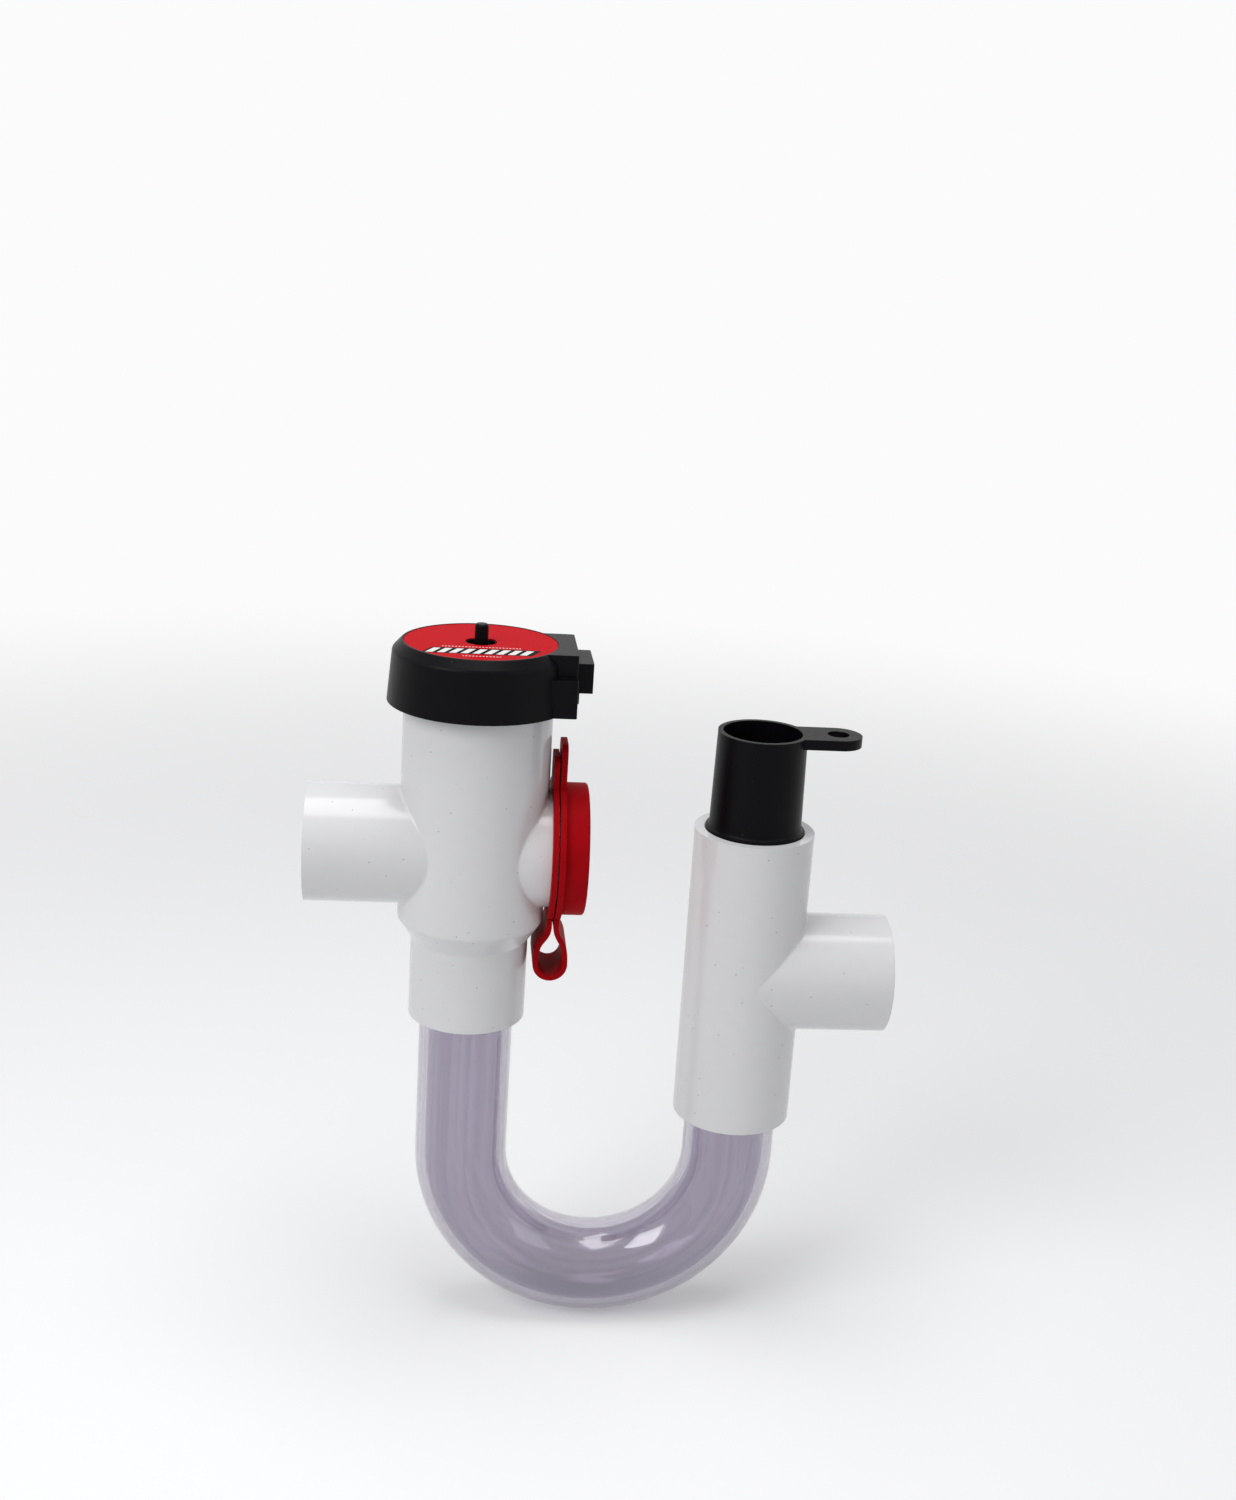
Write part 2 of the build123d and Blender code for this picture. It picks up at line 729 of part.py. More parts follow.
# Magnet: ring on the rod, in the float's pocket
with BuildPart() as magnet_ring:
    with BuildSketch(at_chamber(float_top)):
        Circle(magnet_radius)
        Circle(rod_radius + rod_clearance, mode=Mode.SUBTRACT)
    extrude(amount=-magnet_height)
magnet_ring.part.label = "magnet_ring"
export_step(magnet_ring.part, "parts/magnet_ring.step")


# Float rod: rises through the guide and shows above the cap, with a groove for its clip
groove_low = well_floor + clip_play
groove_high = groove_low + clip_thickness + 2 * clip_play
rod_bottom = float_bottom + rod_end_gap
with BuildPart() as float_rod:
    with BuildSketch(at_chamber(rod_bottom)):
        Circle(rod_radius)
    extrude(amount=rod_top - rod_bottom)
    chamfer(float_rod.edges().group_by(Axis.Z)[-1], clip_groove)
    with BuildSketch(at_chamber(groove_low)):
        Circle(rod_radius)
        Circle(rod_radius - clip_groove, mode=Mode.SUBTRACT)
    extrude(amount=groove_high - groove_low, mode=Mode.SUBTRACT)
float_rod.part.label = "float_rod"
export_step(float_rod.part, "parts/float_rod.step")


# Rod clip: open ring in the rod's groove, resting on the floor of the well
clip_bore = rod_radius - clip_groove + clip_play
clip_radius = rod_radius + clip_reach
with BuildPart() as rod_clip:
    with BuildSketch(at_chamber(groove_low + clip_play)):
        Circle(clip_radius)
        Circle(clip_bore, mode=Mode.SUBTRACT)
        with Locations((0, clip_radius)):
            Rectangle(clip_bore * math.sqrt(2), 2 * clip_radius, mode=Mode.SUBTRACT)
        with PolarLocations(clip_bore, 2):
            Circle(clip_thickness, mode=Mode.SUBTRACT)
    extrude(amount=clip_thickness)
rod_clip.part.label = "rod_clip"
export_step(rod_clip.part, "parts/rod_clip.step")
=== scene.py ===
# %% [markdown]
# # A condensate trap in a small studio
# An air conditioner drips water, and this trap lets the water out but keeps air and insects in the
# drain from coming back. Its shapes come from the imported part, in metres, with Z up. Here it gets its
# plastics, its printed label, a pale studio and a camera.

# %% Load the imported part
import math

import bmesh
import bpy
from mathutils import Matrix, Vector


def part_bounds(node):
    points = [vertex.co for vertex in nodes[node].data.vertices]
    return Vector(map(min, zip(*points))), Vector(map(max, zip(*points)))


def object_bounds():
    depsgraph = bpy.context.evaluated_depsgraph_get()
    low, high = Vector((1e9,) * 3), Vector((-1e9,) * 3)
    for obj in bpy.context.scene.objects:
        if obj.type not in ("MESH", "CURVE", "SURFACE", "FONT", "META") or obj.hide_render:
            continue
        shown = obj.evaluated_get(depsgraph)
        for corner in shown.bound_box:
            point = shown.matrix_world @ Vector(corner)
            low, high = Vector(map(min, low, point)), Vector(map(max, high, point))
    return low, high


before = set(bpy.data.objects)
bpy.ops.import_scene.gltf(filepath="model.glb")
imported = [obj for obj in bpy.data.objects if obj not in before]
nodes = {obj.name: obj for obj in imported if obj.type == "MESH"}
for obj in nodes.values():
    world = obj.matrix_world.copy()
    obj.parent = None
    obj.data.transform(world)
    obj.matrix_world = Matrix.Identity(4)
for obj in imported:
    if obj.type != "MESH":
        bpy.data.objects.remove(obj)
part_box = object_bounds()
scene = bpy.context.scene
mm = 0.001
print("pieces:", len(nodes), "size in mm:", [round(side / mm, 1) for side in part_box[1] - part_box[0]])

# %% [markdown]
# ## The camera
# The camera stands where the photographer stood. Its place was worked out from straight edges and
# round rims in the photograph: it looks slightly down, from a little left of straight on, and is
# turned a few degrees about its own axis. Three perpendicular directions make its rotation: where
# its right side points, where its top points, and where its back points.

# %% Camera at the photograph's viewing angle
yaw = math.radians(-5.76)
elevation = math.radians(16.71)
roll = math.radians(3.70)
look_at = Vector((84.1, 0.0, 29.3)) * mm
look_distance = 500.94 * mm
focal_pixels = 1811.26
photo_height = 1500
sensor_side = 36.0

back = Vector((
    math.sin(yaw) * math.cos(elevation),
    -math.cos(yaw) * math.cos(elevation),
    math.sin(elevation),
))
level_right = (-back).cross(Vector((0, 0, 1))).normalized()
level_up = level_right.cross(-back)
camera_right = level_right * math.cos(roll) + level_up * math.sin(roll)
camera_up = level_up * math.cos(roll) - level_right * math.sin(roll)

camera_data = bpy.data.cameras.new("camera")
camera_data.sensor_width = sensor_side
camera_data.lens = focal_pixels * sensor_side / photo_height
camera_data.clip_start = 10 * mm
camera = bpy.data.objects.new("camera", camera_data)
turn = Matrix((camera_right, camera_up, back)).transposed().to_4x4()
camera.matrix_world = Matrix.Translation(look_at + back * look_distance) @ turn
scene.collection.objects.link(camera)
scene.camera = camera
print("lens:", round(camera_data.lens, 2), "mm, camera at", [round(c / mm) for c in camera.location])

# %% [markdown]
# ## Smooth shading
# The part arrives as flat triangles. Curved walls should look curved, and real corners should stay
# crisp. A geometry-nodes modifier sets only how the triangles are shaded: every face smooth, and
# then an edge sharp where two faces meet at more than a set angle. No point or triangle is moved,
# added, joined or taken away.

# %% One modifier that smooths walls and keeps corners
corner_angle = math.radians(28)


def add_node(tree, kind, sockets=None, **settings):
    """Add a node. A socket's entry is a value to set on it, or an output to link to it."""
    node = tree.nodes.new(kind)
    for name, value in settings.items():
        setattr(node, name, value)
    for name, value in (sockets or {}).items():
        if isinstance(value, bpy.types.NodeSocket):
            tree.links.new(value, node.inputs[name])
        else:
            node.inputs[name].default_value = value
    return node


smoothing = bpy.data.node_groups.new("smooth_walls", "GeometryNodeTree")
smoothing.interface.new_socket("Mesh", in_out="INPUT", socket_type="NodeSocketGeometry")
smoothing.interface.new_socket("Mesh", in_out="OUTPUT", socket_type="NodeSocketGeometry")
mesh_in = add_node(smoothing, "NodeGroupInput")
all_smooth = add_node(smoothing, "GeometryNodeSetShadeSmooth", {
    "Geometry": mesh_in.outputs["Mesh"], "Shade Smooth": True,
}, domain="FACE")
edge_angle = add_node(smoothing, "GeometryNodeInputMeshEdgeAngle")
gentle = add_node(smoothing, "FunctionNodeCompare", {
    "A": edge_angle.outputs["Unsigned Angle"], "B": corner_angle,
}, operation="LESS_THAN")
crisp_corners = add_node(smoothing, "GeometryNodeSetShadeSmooth", {
    "Geometry": all_smooth.outputs["Geometry"], "Shade Smooth": gentle.outputs["Result"],
}, domain="EDGE")
add_node(smoothing, "NodeGroupOutput", {"Mesh": crisp_corners.outputs["Geometry"]})

for piece in nodes.values():
    piece.modifiers.new("smooth_walls", "NODES").node_group = smoothing
print("smoothed:", len(nodes), "pieces at", round(math.degrees(corner_angle)), "degrees")

# %% [markdown]
# ## Colours and materials
# Colours are written as the hex values that a screen shows, so one function turns them into the
# linear numbers that the shader works with. Every material starts from what the real one is and how
# its surface was made. The Bevel node rounds the normals along edges a little, because no moulded
# edge is perfectly sharp, and such edges catch a thin line of light. Most values of a noise texture
# lie between noise_low and noise_high. Several sockets of the Mix node have the same name, so its
# two colours and its result go by their numbers.

# %% Helpers for materials
noise_low, noise_high = 0.3, 0.7
mix_a, mix_b, mix_result = 6, 7, 2
bevel_samples = 4


def linear(hex_colour):
    """An sRGB hex colour as linear red, green, blue and alpha."""
    channels = [int(hex_colour[i:i + 2], 16) / 255 for i in (1, 3, 5)]
    return [c / 12.92 if c <= 0.04045 else ((c + 0.055) / 1.055) ** 2.4 for c in channels] + [1.0]


def new_material(name, hex_colour, roughness, ior=1.5, metallic=0.0):
    """A material with a Principled surface, its tree, and the surface node."""
    material = bpy.data.materials.new(name)
    material.use_nodes = True
    tree = material.node_tree
    surface = tree.nodes["Principled BSDF"]
    surface.inputs["Base Color"].default_value = linear(hex_colour)
    surface.inputs["Roughness"].default_value = roughness
    surface.inputs["IOR"].default_value = ior
    surface.inputs["Metallic"].default_value = metallic
    return material, tree, surface


def relief(tree, surface, height, depth, edge_round):
    """Bump from a height pattern, in metres, over edges rounded by edge_round."""
    rounded = add_node(tree, "ShaderNodeBevel", {"Radius": edge_round}, samples=bevel_samples)
    bump = add_node(tree, "ShaderNodeBump", {
        "Height": height, "Distance": depth, "Normal": rounded.outputs["Normal"],
    })
    tree.links.new(bump.outputs["Normal"], surface.inputs["Normal"])


def dress(material, *names):
    """Give CAD pieces their material."""
    for name in names:
        nodes[name].data.materials.clear()
        nodes[name].data.materials.append(material)
    print(material.name, "on", ", ".join(names))


# %% [markdown]
# ## White PVC fittings
# The inlet cross and the outlet tee are injection-moulded PVC: a cool white with a soft gloss. The
# melt freezes into a barely wavy skin, whose gloss drifts over some centimetres, and a few dark specks
# of burnt resin are caught in it. The two halves of the mould meet on the plane through all the
# sockets' axes, and leave a hair-thin raised line there, ten times as high as the skin's waves. All
# of it is worked out from each point's place on the part, so no picture has to be wrapped round the
# pipes.

# %% Moulded white PVC
skin_wave = 3.5 * mm
skin_relief = 0.006 * mm
gloss_patch = 14 * mm
patch_low, patch_high = 0.2, 0.8
gloss_low, gloss_high = 0.12, 0.20
speck_spacing = 3.6 * mm
speck_radius = 0.15 * mm
speck_fade = 1.6
speck_strength = 0.6
parting_half = 0.11 * mm
parting_rise = 10.0
moulded_edge = 0.25 * mm

white_pvc, tree, surface = new_material("moulded_white_pvc", "#E5E5E7", 0.30, ior=1.53)
place = add_node(tree, "ShaderNodeTexCoord").outputs["Object"]
skin = add_node(tree, "ShaderNodeTexNoise", {"Vector": place, "Scale": 1 / skin_wave, "Detail": 2})
patches = add_node(tree, "ShaderNodeTexNoise", {
    "Vector": place, "Scale": 1 / gloss_patch, "Detail": 1,
})
gloss = add_node(tree, "ShaderNodeMapRange", {
    "Value": patches.outputs["Fac"], "From Min": patch_low, "From Max": patch_high,
    "To Min": gloss_low, "To Max": gloss_high,
})
tree.links.new(gloss.outputs["Result"], surface.inputs["Roughness"])
specks = add_node(tree, "ShaderNodeTexVoronoi", {"Vector": place, "Scale": 1 / speck_spacing})
speck_mask = add_node(tree, "ShaderNodeMapRange", {
    "Value": specks.outputs["Distance"], "From Min": speck_radius / speck_spacing,
    "From Max": speck_fade * speck_radius / speck_spacing, "To Min": speck_strength, "To Max": 0.0,
})
tone = add_node(tree, "ShaderNodeMix", {
    "Factor": skin.outputs["Fac"], mix_a: linear("#E3E3E5"), mix_b: linear("#E7E7E9"),
}, data_type="RGBA")
speckled = add_node(tree, "ShaderNodeMix", {
    "Factor": speck_mask.outputs["Result"], mix_a: tone.outputs[mix_result], mix_b: linear("#77736C"),
}, data_type="RGBA")
tree.links.new(speckled.outputs[mix_result], surface.inputs["Base Color"])
sides = add_node(tree, "ShaderNodeSeparateXYZ", {"Vector": place})
off_plane = add_node(tree, "ShaderNodeMath", {0: sides.outputs["Y"]}, operation="ABSOLUTE")
parting = add_node(tree, "ShaderNodeMapRange", {
    "Value": off_plane.outputs[0], "From Min": 0.0, "From Max": parting_half,
    "To Min": parting_rise, "To Max": 0.0,
}, interpolation_type="SMOOTHSTEP")
height = add_node(tree, "ShaderNodeMath", {
    0: skin.outputs["Fac"], 1: parting.outputs["Result"],
}, operation="ADD")
relief(tree, surface, height.outputs[0], skin_relief, moulded_edge)
dress(white_pvc, "inlet_cross", "outlet_tee")

# %% [markdown]
# ## Clear PVC pipe
# The bend is clear pipe, extruded and then bent hot. Both walls are real surfaces in the mesh, so
# light bends through them as it does in the real pipe. Clear PVC has a violet-grey cast. Light that
# crosses the middle of the pipe meets four surfaces, and light near the outline only two, so the
# middle looks smoky and the outer wall shows as a paler band. The die has left faint lines along the
# pipe, which go round the bend with it. The distance from the bend's axis and the distance to the
# front stay the same all along such a line, so the two of them make its pattern. Above the bend's
# centre, where the legs are straight, the height is left out of that distance.

# %% Extruded clear PVC
die_line = 1.7 * mm
die_relief = 0.012 * mm
haze_patch = 5 * mm
haze_low, haze_high = 0.05, 0.11
cut_edge = 0.2 * mm
bend_low, bend_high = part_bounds("u_bend")
pipe_radius = bend_high.y
leg_middle = (bend_low.x + bend_high.x) / 2
bend_radius = (bend_high.x - bend_low.x) / 2 - pipe_radius
bend_centre = (leg_middle, 0.0, bend_low.z + pipe_radius + bend_radius)
print("pipe radius", round(pipe_radius / mm, 2), "mm, bent to", round(bend_radius / mm, 2), "mm")

clear_pvc, tree, surface = new_material("extruded_clear_pvc", "#CBC6D2", 0.08, ior=1.53)
surface.inputs["Transmission Weight"].default_value = 0.95
surface.inputs["Coat Weight"].default_value = 0.6
surface.inputs["Coat Roughness"].default_value = 0.04
place = add_node(tree, "ShaderNodeTexCoord").outputs["Object"]
from_centre = add_node(tree, "ShaderNodeVectorMath", {
    0: place, 1: bend_centre,
}, operation="SUBTRACT")
sides = add_node(tree, "ShaderNodeSeparateXYZ", {"Vector": from_centre.outputs["Vector"]})
below = add_node(tree, "ShaderNodeMath", {0: sides.outputs["Z"], 1: 0.0}, operation="MINIMUM")
in_plane = add_node(tree, "ShaderNodeCombineXYZ", {"X": sides.outputs["X"], "Z": below.outputs[0]})
outward = add_node(tree, "ShaderNodeVectorMath", {0: in_plane.outputs["Vector"]}, operation="LENGTH")
across = add_node(tree, "ShaderNodeCombineXYZ", {
    "X": outward.outputs["Value"], "Y": sides.outputs["Y"],
})
lines = add_node(tree, "ShaderNodeTexNoise", {
    "Vector": across.outputs["Vector"], "Scale": 1 / die_line, "Detail": 1,
})
streaks = add_node(tree, "ShaderNodeMapRange", {
    "Value": lines.outputs["Fac"], "From Min": noise_low, "From Max": noise_high,
})
tint = add_node(tree, "ShaderNodeMix", {
    "Factor": streaks.outputs["Result"], mix_a: linear("#C1BBC9"), mix_b: linear("#D1CCD8"),
}, data_type="RGBA")
tree.links.new(tint.outputs[mix_result], surface.inputs["Base Color"])
patches = add_node(tree, "ShaderNodeTexNoise", {
    "Vector": place, "Scale": 1 / haze_patch, "Detail": 1,
})
haze = add_node(tree, "ShaderNodeMapRange", {
    "Value": patches.outputs["Fac"], "From Min": noise_low, "From Max": noise_high,
    "To Min": haze_low, "To Max": haze_high,
})
tree.links.new(haze.outputs["Result"], surface.inputs["Roughness"])
relief(tree, surface, lines.outputs["Fac"], die_relief, cut_edge)
dress(clear_pvc, "u_bend")

# %% [markdown]
# ## Black ABS
# The switch cap and the vent tube are moulded black ABS. Their moulds are lightly spark-eroded, which
# leaves a fine grain: highlights turn broad and soft, and the black never looks wet. The grain's real
# size of about 0.1 mm is too fine for this view, so it is drawn four times coarser. The core's polish
# marks run along the parts and stretch the highlights, and black plastic shows every speck of dust.

# %% Moulded black ABS
grain_size = 0.4 * mm
grain_relief = 0.012 * mm
polish_width = 0.6 * mm
polish_length = 30 * mm
sheen_low, sheen_high = 0.32, 0.42
dust_spacing = 4.2 * mm
dust_radius = 0.10 * mm
dust_fade = 1.5
dust_strength = 0.5

black_abs, tree, surface = new_material("moulded_black_abs", "#07070A", 0.36, ior=1.54)
surface.inputs["Specular IOR Level"].default_value = 0.07
place = add_node(tree, "ShaderNodeTexCoord").outputs["Object"]
grain = add_node(tree, "ShaderNodeTexNoise", {"Vector": place, "Scale": 1 / grain_size, "Detail": 2})
along = add_node(tree, "ShaderNodeMapping", {
    "Vector": place, "Scale": (1 / polish_width, 1 / polish_width, 1 / polish_length),
})
polish = add_node(tree, "ShaderNodeTexNoise", {
    "Vector": along.outputs["Vector"], "Scale": 1.0, "Detail": 2,
})
sheen = add_node(tree, "ShaderNodeMapRange", {
    "Value": polish.outputs["Fac"], "From Min": noise_low, "From Max": noise_high,
    "To Min": sheen_low, "To Max": sheen_high,
})
tree.links.new(sheen.outputs["Result"], surface.inputs["Roughness"])
dust = add_node(tree, "ShaderNodeTexVoronoi", {"Vector": place, "Scale": 1 / dust_spacing})
dust_mask = add_node(tree, "ShaderNodeMapRange", {
    "Value": dust.outputs["Distance"], "From Min": dust_radius / dust_spacing,
    "From Max": dust_fade * dust_radius / dust_spacing, "To Min": dust_strength, "To Max": 0.0,
})
dusty = add_node(tree, "ShaderNodeMix", {
    "Factor": dust_mask.outputs["Result"], mix_a: linear("#07070A"), mix_b: linear("#7A7874"),
}, data_type="RGBA")
tree.links.new(dusty.outputs[mix_result], surface.inputs["Base Color"])
relief(tree, surface, grain.outputs["Fac"], grain_relief, moulded_edge)
dress(black_abs, "switch_cap", "vent_tube", "switch_cover", "float_rod")

# %% [markdown]
# ## Red polyethylene
# The cleanout cap, its strap and its ring are one soft polyethylene moulding, so that the strap can
# bend. Polyethylene is waxy: light enters it a little, which warms the thin edges, and its gloss is
# low and broad. It is rough enough that the strap stays red even where it is seen almost edge on. The
# melt's flow leaves slow changes of shade, and the mould's matt wall a fine grain, drawn coarser here
# than its real 0.15 mm so that it shows.

# %% Moulded red polyethylene
flow_patch = 6 * mm
matt_grain = 0.45 * mm
matt_relief = 0.03 * mm
light_depth = 1.2 * mm

red_polyethylene, tree, surface = new_material("moulded_red_polyethylene", "#A60A13", 0.55, ior=1.51)
surface.inputs["Specular IOR Level"].default_value = 0.03
surface.inputs["Subsurface Weight"].default_value = 0.15
surface.inputs["Subsurface Radius"].default_value = (1.0, 0.15, 0.1)
surface.inputs["Subsurface Scale"].default_value = light_depth
place = add_node(tree, "ShaderNodeTexCoord").outputs["Object"]
flow = add_node(tree, "ShaderNodeTexNoise", {"Vector": place, "Scale": 1 / flow_patch, "Detail": 3})
matt = add_node(tree, "ShaderNodeTexNoise", {"Vector": place, "Scale": 1 / matt_grain, "Detail": 2})
flow_tone = add_node(tree, "ShaderNodeMix", {
    "Factor": flow.outputs["Fac"], mix_a: linear("#9A0810"), mix_b: linear("#B40C16"),
}, data_type="RGBA")
tree.links.new(flow_tone.outputs[mix_result], surface.inputs["Base Color"])
height = add_node(tree, "ShaderNodeMath", {
    0: flow.outputs["Fac"], 1: matt.outputs["Fac"],
}, operation="ADD")
relief(tree, surface, height.outputs[0], matt_relief, moulded_edge)
dress(red_polyethylene, "cleanout_cap")

# %% [markdown]
# ## The label
# The label is a disc of printed film. Its print is worked out from how far each point lies to the
# side and to the front of the cap's rod, so it needs no picture: a dark slanting band across the front
# with white bars, and two rows of fine dashes. A share is the part of each pitch that has ink. Each
# row of dashes has its place to the front and its reach to either side. The film's gloss is low, so
# that the red stays deep even where the disc is seen almost edge on.

# %% Printed film
label_low, label_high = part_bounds("cap_label")
label_middle = (label_low + label_high) / 2
slant = 0.45
band_front, band_half, band_end = 11.3 * mm, 3.1 * mm, 14.6 * mm
bar_half, bar_end, bar_pitch, bar_share = 2.45 * mm, 13.9 * mm, 3.1 * mm, 0.62
dash_half, dash_pitch, dash_share = 0.3 * mm, 0.9 * mm, 0.6
dash_rows = ((6.6 * mm, 10.5 * mm), (16.6 * mm, 5.0 * mm))

label_print, tree, surface = new_material("printed_film", "#C8121E", 0.45, ior=1.49)
surface.inputs["Specular IOR Level"].default_value = 0.01
place = add_node(tree, "ShaderNodeTexCoord").outputs["Object"]
from_rod = add_node(tree, "ShaderNodeVectorMath", {
    0: place, 1: label_middle,
}, operation="SUBTRACT")
sides = add_node(tree, "ShaderNodeSeparateXYZ", {"Vector": from_rod.outputs["Vector"]})
aside = sides.outputs["X"]
to_front = add_node(tree, "ShaderNodeMath", {
    0: sides.outputs["Y"], 1: -1.0,
}, operation="MULTIPLY").outputs[0]
leaning = add_node(tree, "ShaderNodeMath", {
    0: to_front, 1: slant, 2: aside,
}, operation="MULTIPLY_ADD").outputs[0]


def stripe(value, middle, half, pattern=None):
    """1 where a value is within half of middle, and where pattern, if given, is 1 too."""
    mask = add_node(tree, "ShaderNodeMath", {0: value, 1: middle, 2: half}, operation="COMPARE")
    if pattern is None:
        return mask.outputs[0]
    both = add_node(tree, "ShaderNodeMath", {0: mask.outputs[0], 1: pattern}, operation="MULTIPLY")
    return both.outputs[0]


def repeats(value, pitch, share):
    """1 on a share of every pitch, along a value that is a length."""
    scaled = add_node(tree, "ShaderNodeMath", {0: value, 1: 1 / pitch}, operation="MULTIPLY")
    saw = add_node(tree, "ShaderNodeMath", {0: scaled.outputs[0]}, operation="FRACT")
    return stripe(saw.outputs[0], 0.5, share / 2)


band_middle = slant * band_front
bars = stripe(leaning, band_middle, bar_end, repeats(leaning, bar_pitch, bar_share))
layers = [
    ("#111113", stripe(to_front, band_front, band_half, stripe(leaning, band_middle, band_end))),
    ("#F2F1EF", stripe(to_front, band_front, bar_half, bars)),
]
for front, end in dash_rows:
    dashes = stripe(aside, 0.0, end, repeats(aside, dash_pitch, dash_share))
    layers.append(("#F0D8D6", stripe(to_front, front, dash_half, dashes)))
colour = linear("#C8121E")
for ink, mask in layers:
    colour = add_node(tree, "ShaderNodeMix", {
        "Factor": mask, mix_a: colour, mix_b: linear(ink),
    }, data_type="RGBA").outputs[mix_result]
tree.links.new(colour, surface.inputs["Base Color"])
label_width = label_high.x - label_low.x
print("label:", round(label_width / mm, 1), "mm across, with", len(layers), "layers of ink")
dress(label_print, "cap_label")

# %% [markdown]
# ## The small parts inside
# Under the cap are a nitrile seal, zinc-plated steel screws, a switch board, a glass reed switch,
# brass pins, a foam float and a ferrite magnet. They show only when the cap is lifted, so each gets
# the plain finish of its material with one pattern at its real scale. The clip on the rod is spring
# steel with a black oxide coat, because the well round the rod looks dark from above. Each row of the
# table has a darker and a lighter shade, roughness, IOR, metallic, the pattern's size and depth in
# mm, and the pieces.

# %% Inside materials from one table of finishes
inside_edge = 0.1 * mm
inside = {
    "nitrile_rubber": ("#1A1A1A", "#232323", 0.60, 1.52, 0.0, 0.8, 0.02, ["cap_seal"]),
    "zinc_plated_steel": ("#B9BBC0", "#C9CBD0", 0.30, 1.45, 1.0, 0.5, 0.005,
                          ["cover_screw_1", "cover_screw_2", "cover_screw_3"]),
    "black_oxide_spring_steel": ("#17171A", "#222226", 0.42, 1.45, 1.0, 0.4, 0.004, ["rod_clip"]),
    "glass_fibre_board": ("#1B5B33", "#226A3D", 0.45, 1.55, 0.0, 1.2, 0.01, ["switch_board"]),
    "reed_glass": ("#CFE3D8", "#DDEDE4", 0.08, 1.50, 0.0, 2.0, 0.002, ["reed_switch"]),
    "drawn_brass": ("#C9A14A", "#D6B05A", 0.25, 1.45, 1.0, 0.3, 0.003,
                    ["contact_pin_1", "contact_pin_2"]),
    "closed_cell_foam": ("#2A2B2E", "#3A3B3F", 0.80, 1.50, 0.0, 0.6, 0.08, ["float_body"]),
    "sintered_ferrite": ("#2B2C2F", "#3A3B3F", 0.50, 2.20, 0.0, 0.25, 0.01, ["magnet_ring"]),
}
for name, (dark, light, roughness, ior, metallic, size, depth, members) in inside.items():
    material, tree, surface = new_material(name, light, roughness, ior, metallic)
    place = add_node(tree, "ShaderNodeTexCoord").outputs["Object"]
    pattern = add_node(tree, "ShaderNodeTexNoise", {
        "Vector": place, "Scale": 1 / (size * mm), "Detail": 2,
    })
    blend = add_node(tree, "ShaderNodeMix", {
        "Factor": pattern.outputs["Fac"], mix_a: linear(dark), mix_b: linear(light),
    }, data_type="RGBA")
    tree.links.new(blend.outputs[mix_result], surface.inputs["Base Color"])
    relief(tree, surface, pattern.outputs["Fac"], depth * mm, inside_edge)
    dress(material, *members)

# %% [markdown]
# ## The studio
# The trap stands on a pale floor that turns into a plain white background. There is no wall: far from
# the trap the floor's own colour fades to that of the world behind it, from every side alike. The eye
# sees both brighter than they shine on the trap, also in its gloss and through the clear pipe, so the
# background is white while the light stays at a level at which the plastics keep their shades. The
# kind of ray decides that, and is the same in both materials.

# %% Floor and world
background = linear("#FBFBFC")
floor_lift = 0.24
floor_near = 0.30
floor_far = 1.0
floor_radius = 3.0
floor_sides = 96
floor_gap = 0.05 * mm
world_light = 0.26


def by_ray(tree, unseen, seen):
    """A strength that is seen for rays that show a surface to the eye, and unseen for the others."""
    ray = add_node(tree, "ShaderNodeLightPath")
    straight_or_gloss = add_node(tree, "ShaderNodeMath", {
        0: ray.outputs["Is Camera Ray"], 1: ray.outputs["Is Glossy Ray"],
    }, operation="MAXIMUM")
    shown = add_node(tree, "ShaderNodeMath", {
        0: straight_or_gloss.outputs[0], 1: ray.outputs["Is Transmission Ray"],
    }, operation="MAXIMUM")
    strength = add_node(tree, "ShaderNodeMapRange", {
        "Value": shown.outputs[0], "To Min": unseen, "To Max": seen,
    })
    return strength.outputs["Result"]


floor_mesh = bpy.data.meshes.new("floor")
sheet = bmesh.new()
bmesh.ops.create_circle(sheet, cap_ends=True, segments=floor_sides, radius=floor_radius)
sheet.to_mesh(floor_mesh)
sheet.free()
floor = bpy.data.objects.new("floor", floor_mesh)
floor.location = (look_at.x, 0.0, part_box[0].z - floor_gap)
scene.collection.objects.link(floor)

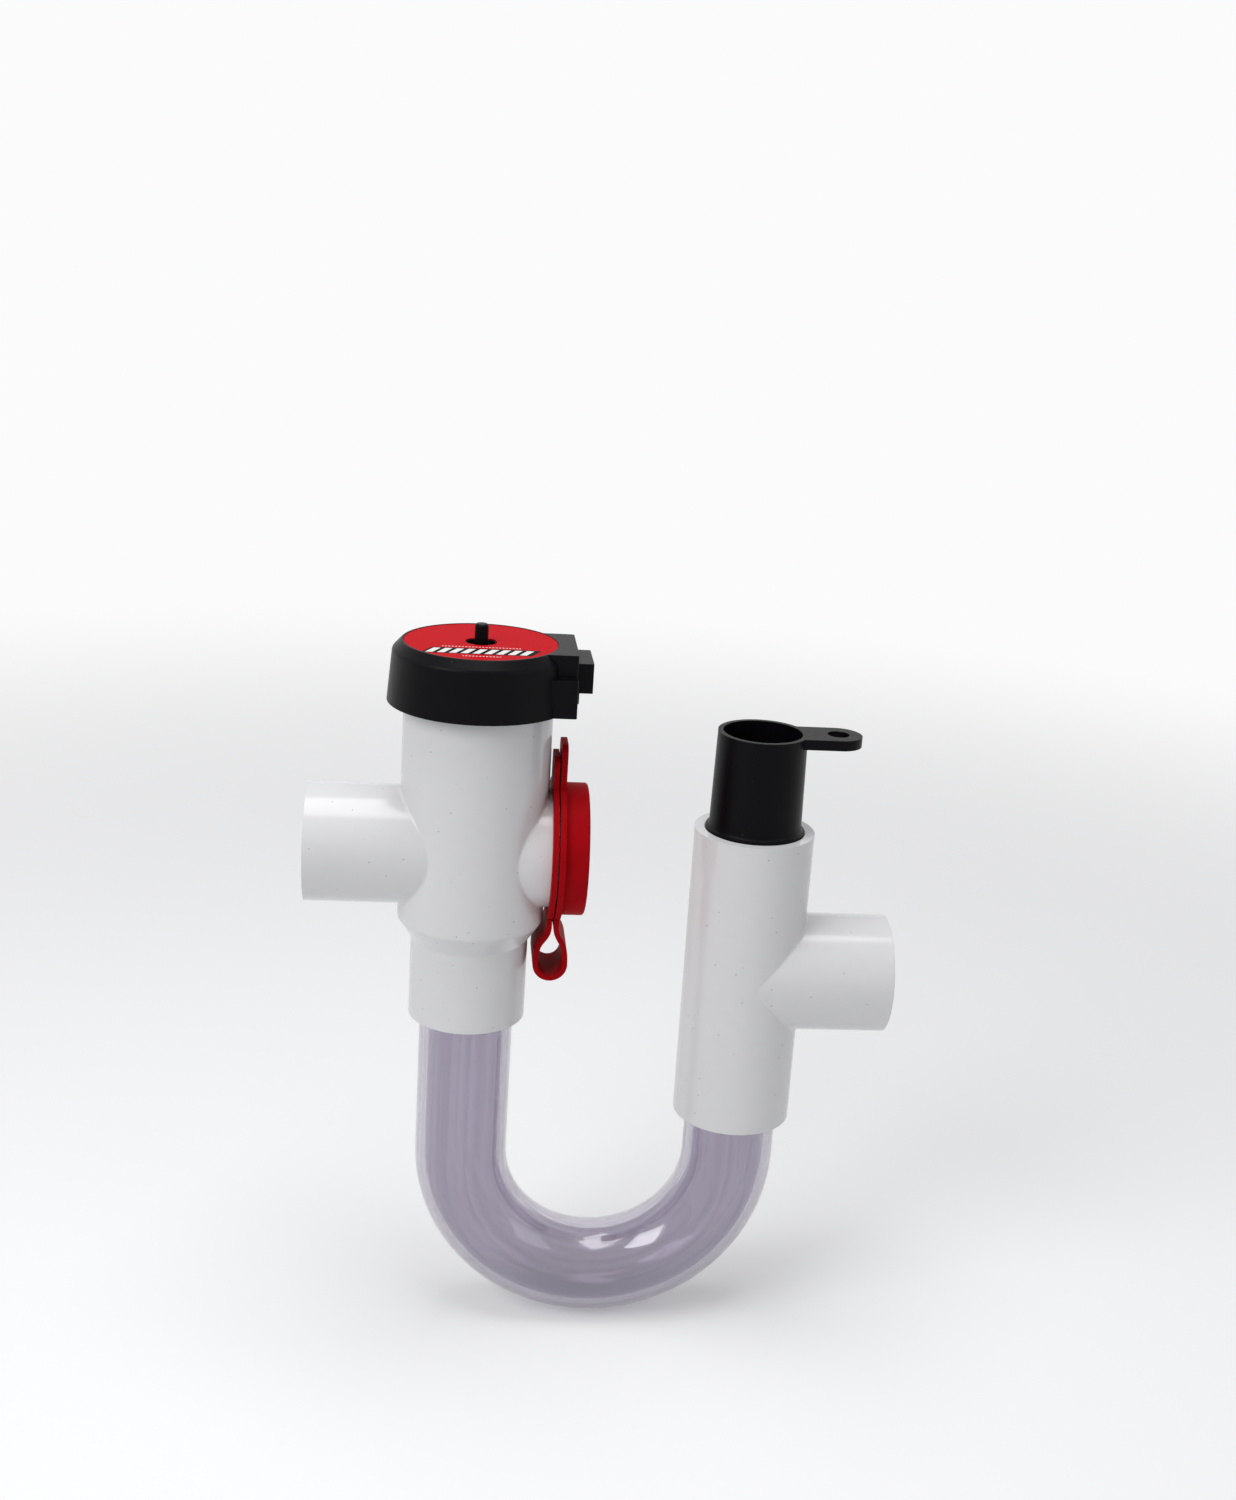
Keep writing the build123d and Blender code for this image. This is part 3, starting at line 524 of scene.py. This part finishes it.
floor_paper, tree, surface = new_material("floor_paper", "#EDEEEF", 0.85)
lift = add_node(tree, "ShaderNodeEmission", {
    "Color": background, "Strength": by_ray(tree, 0.0, floor_lift),
})
lifted = add_node(tree, "ShaderNodeAddShader", {
    0: surface.outputs["BSDF"], 1: lift.outputs["Emission"],
})
distance = add_node(tree, "ShaderNodeVectorMath", {
    0: add_node(tree, "ShaderNodeTexCoord").outputs["Object"],
}, operation="LENGTH")
fade = add_node(tree, "ShaderNodeMapRange", {
    "Value": distance.outputs["Value"], "From Min": floor_near, "From Max": floor_far,
}, interpolation_type="SMOOTHSTEP")
glow = add_node(tree, "ShaderNodeEmission", {
    "Color": background, "Strength": by_ray(tree, world_light, 1.0),
})
faded = add_node(tree, "ShaderNodeMixShader", {
    "Fac": fade.outputs["Result"], 1: lifted.outputs[0], 2: glow.outputs["Emission"],
})
tree.links.new(faded.outputs["Shader"], tree.nodes["Material Output"].inputs["Surface"])
floor_mesh.materials.append(floor_paper)

world = bpy.data.worlds.new("studio")
scene.world = world
world.use_nodes = True
sky = world.node_tree.nodes["Background"]
sky.inputs["Color"].default_value = background
world.node_tree.links.new(by_ray(world.node_tree, world_light, 1.0), sky.inputs["Strength"])
print("floor at", round(floor.location.z / mm, 1), "mm, world light", world_light)

# %% [markdown]
# ## The lamps
# A broad lamp stands at the upper left, where the photograph's brightest gloss comes from, and another
# hangs over the trap. A weak one at the right lifts the shadows. Each lamp has its place and its
# side in metres, and its power in watts.

# %% Lamps
middle = (part_box[0] + part_box[1]) / 2
for name, place_at, side, power in (
    ("key_lamp", (-0.55, -0.50, 0.55), 0.50, 3.7),
    ("fill_lamp", (0.75, -0.45, 0.25), 0.45, 0.5),
    ("top_lamp", (0.05, -0.05, 0.80), 0.55, 3.3),
):
    lamp_data = bpy.data.lights.new(name, "AREA")
    lamp_data.shape = "SQUARE"
    lamp_data.size = side
    lamp_data.energy = power
    lamp = bpy.data.objects.new(name, lamp_data)
    lamp.location = place_at
    lamp.rotation_euler = (middle - lamp.location).to_track_quat("-Z", "Y").to_euler()
    scene.collection.objects.link(lamp)
    print(name, power, "W")

scene.view_settings.view_transform = "Standard"
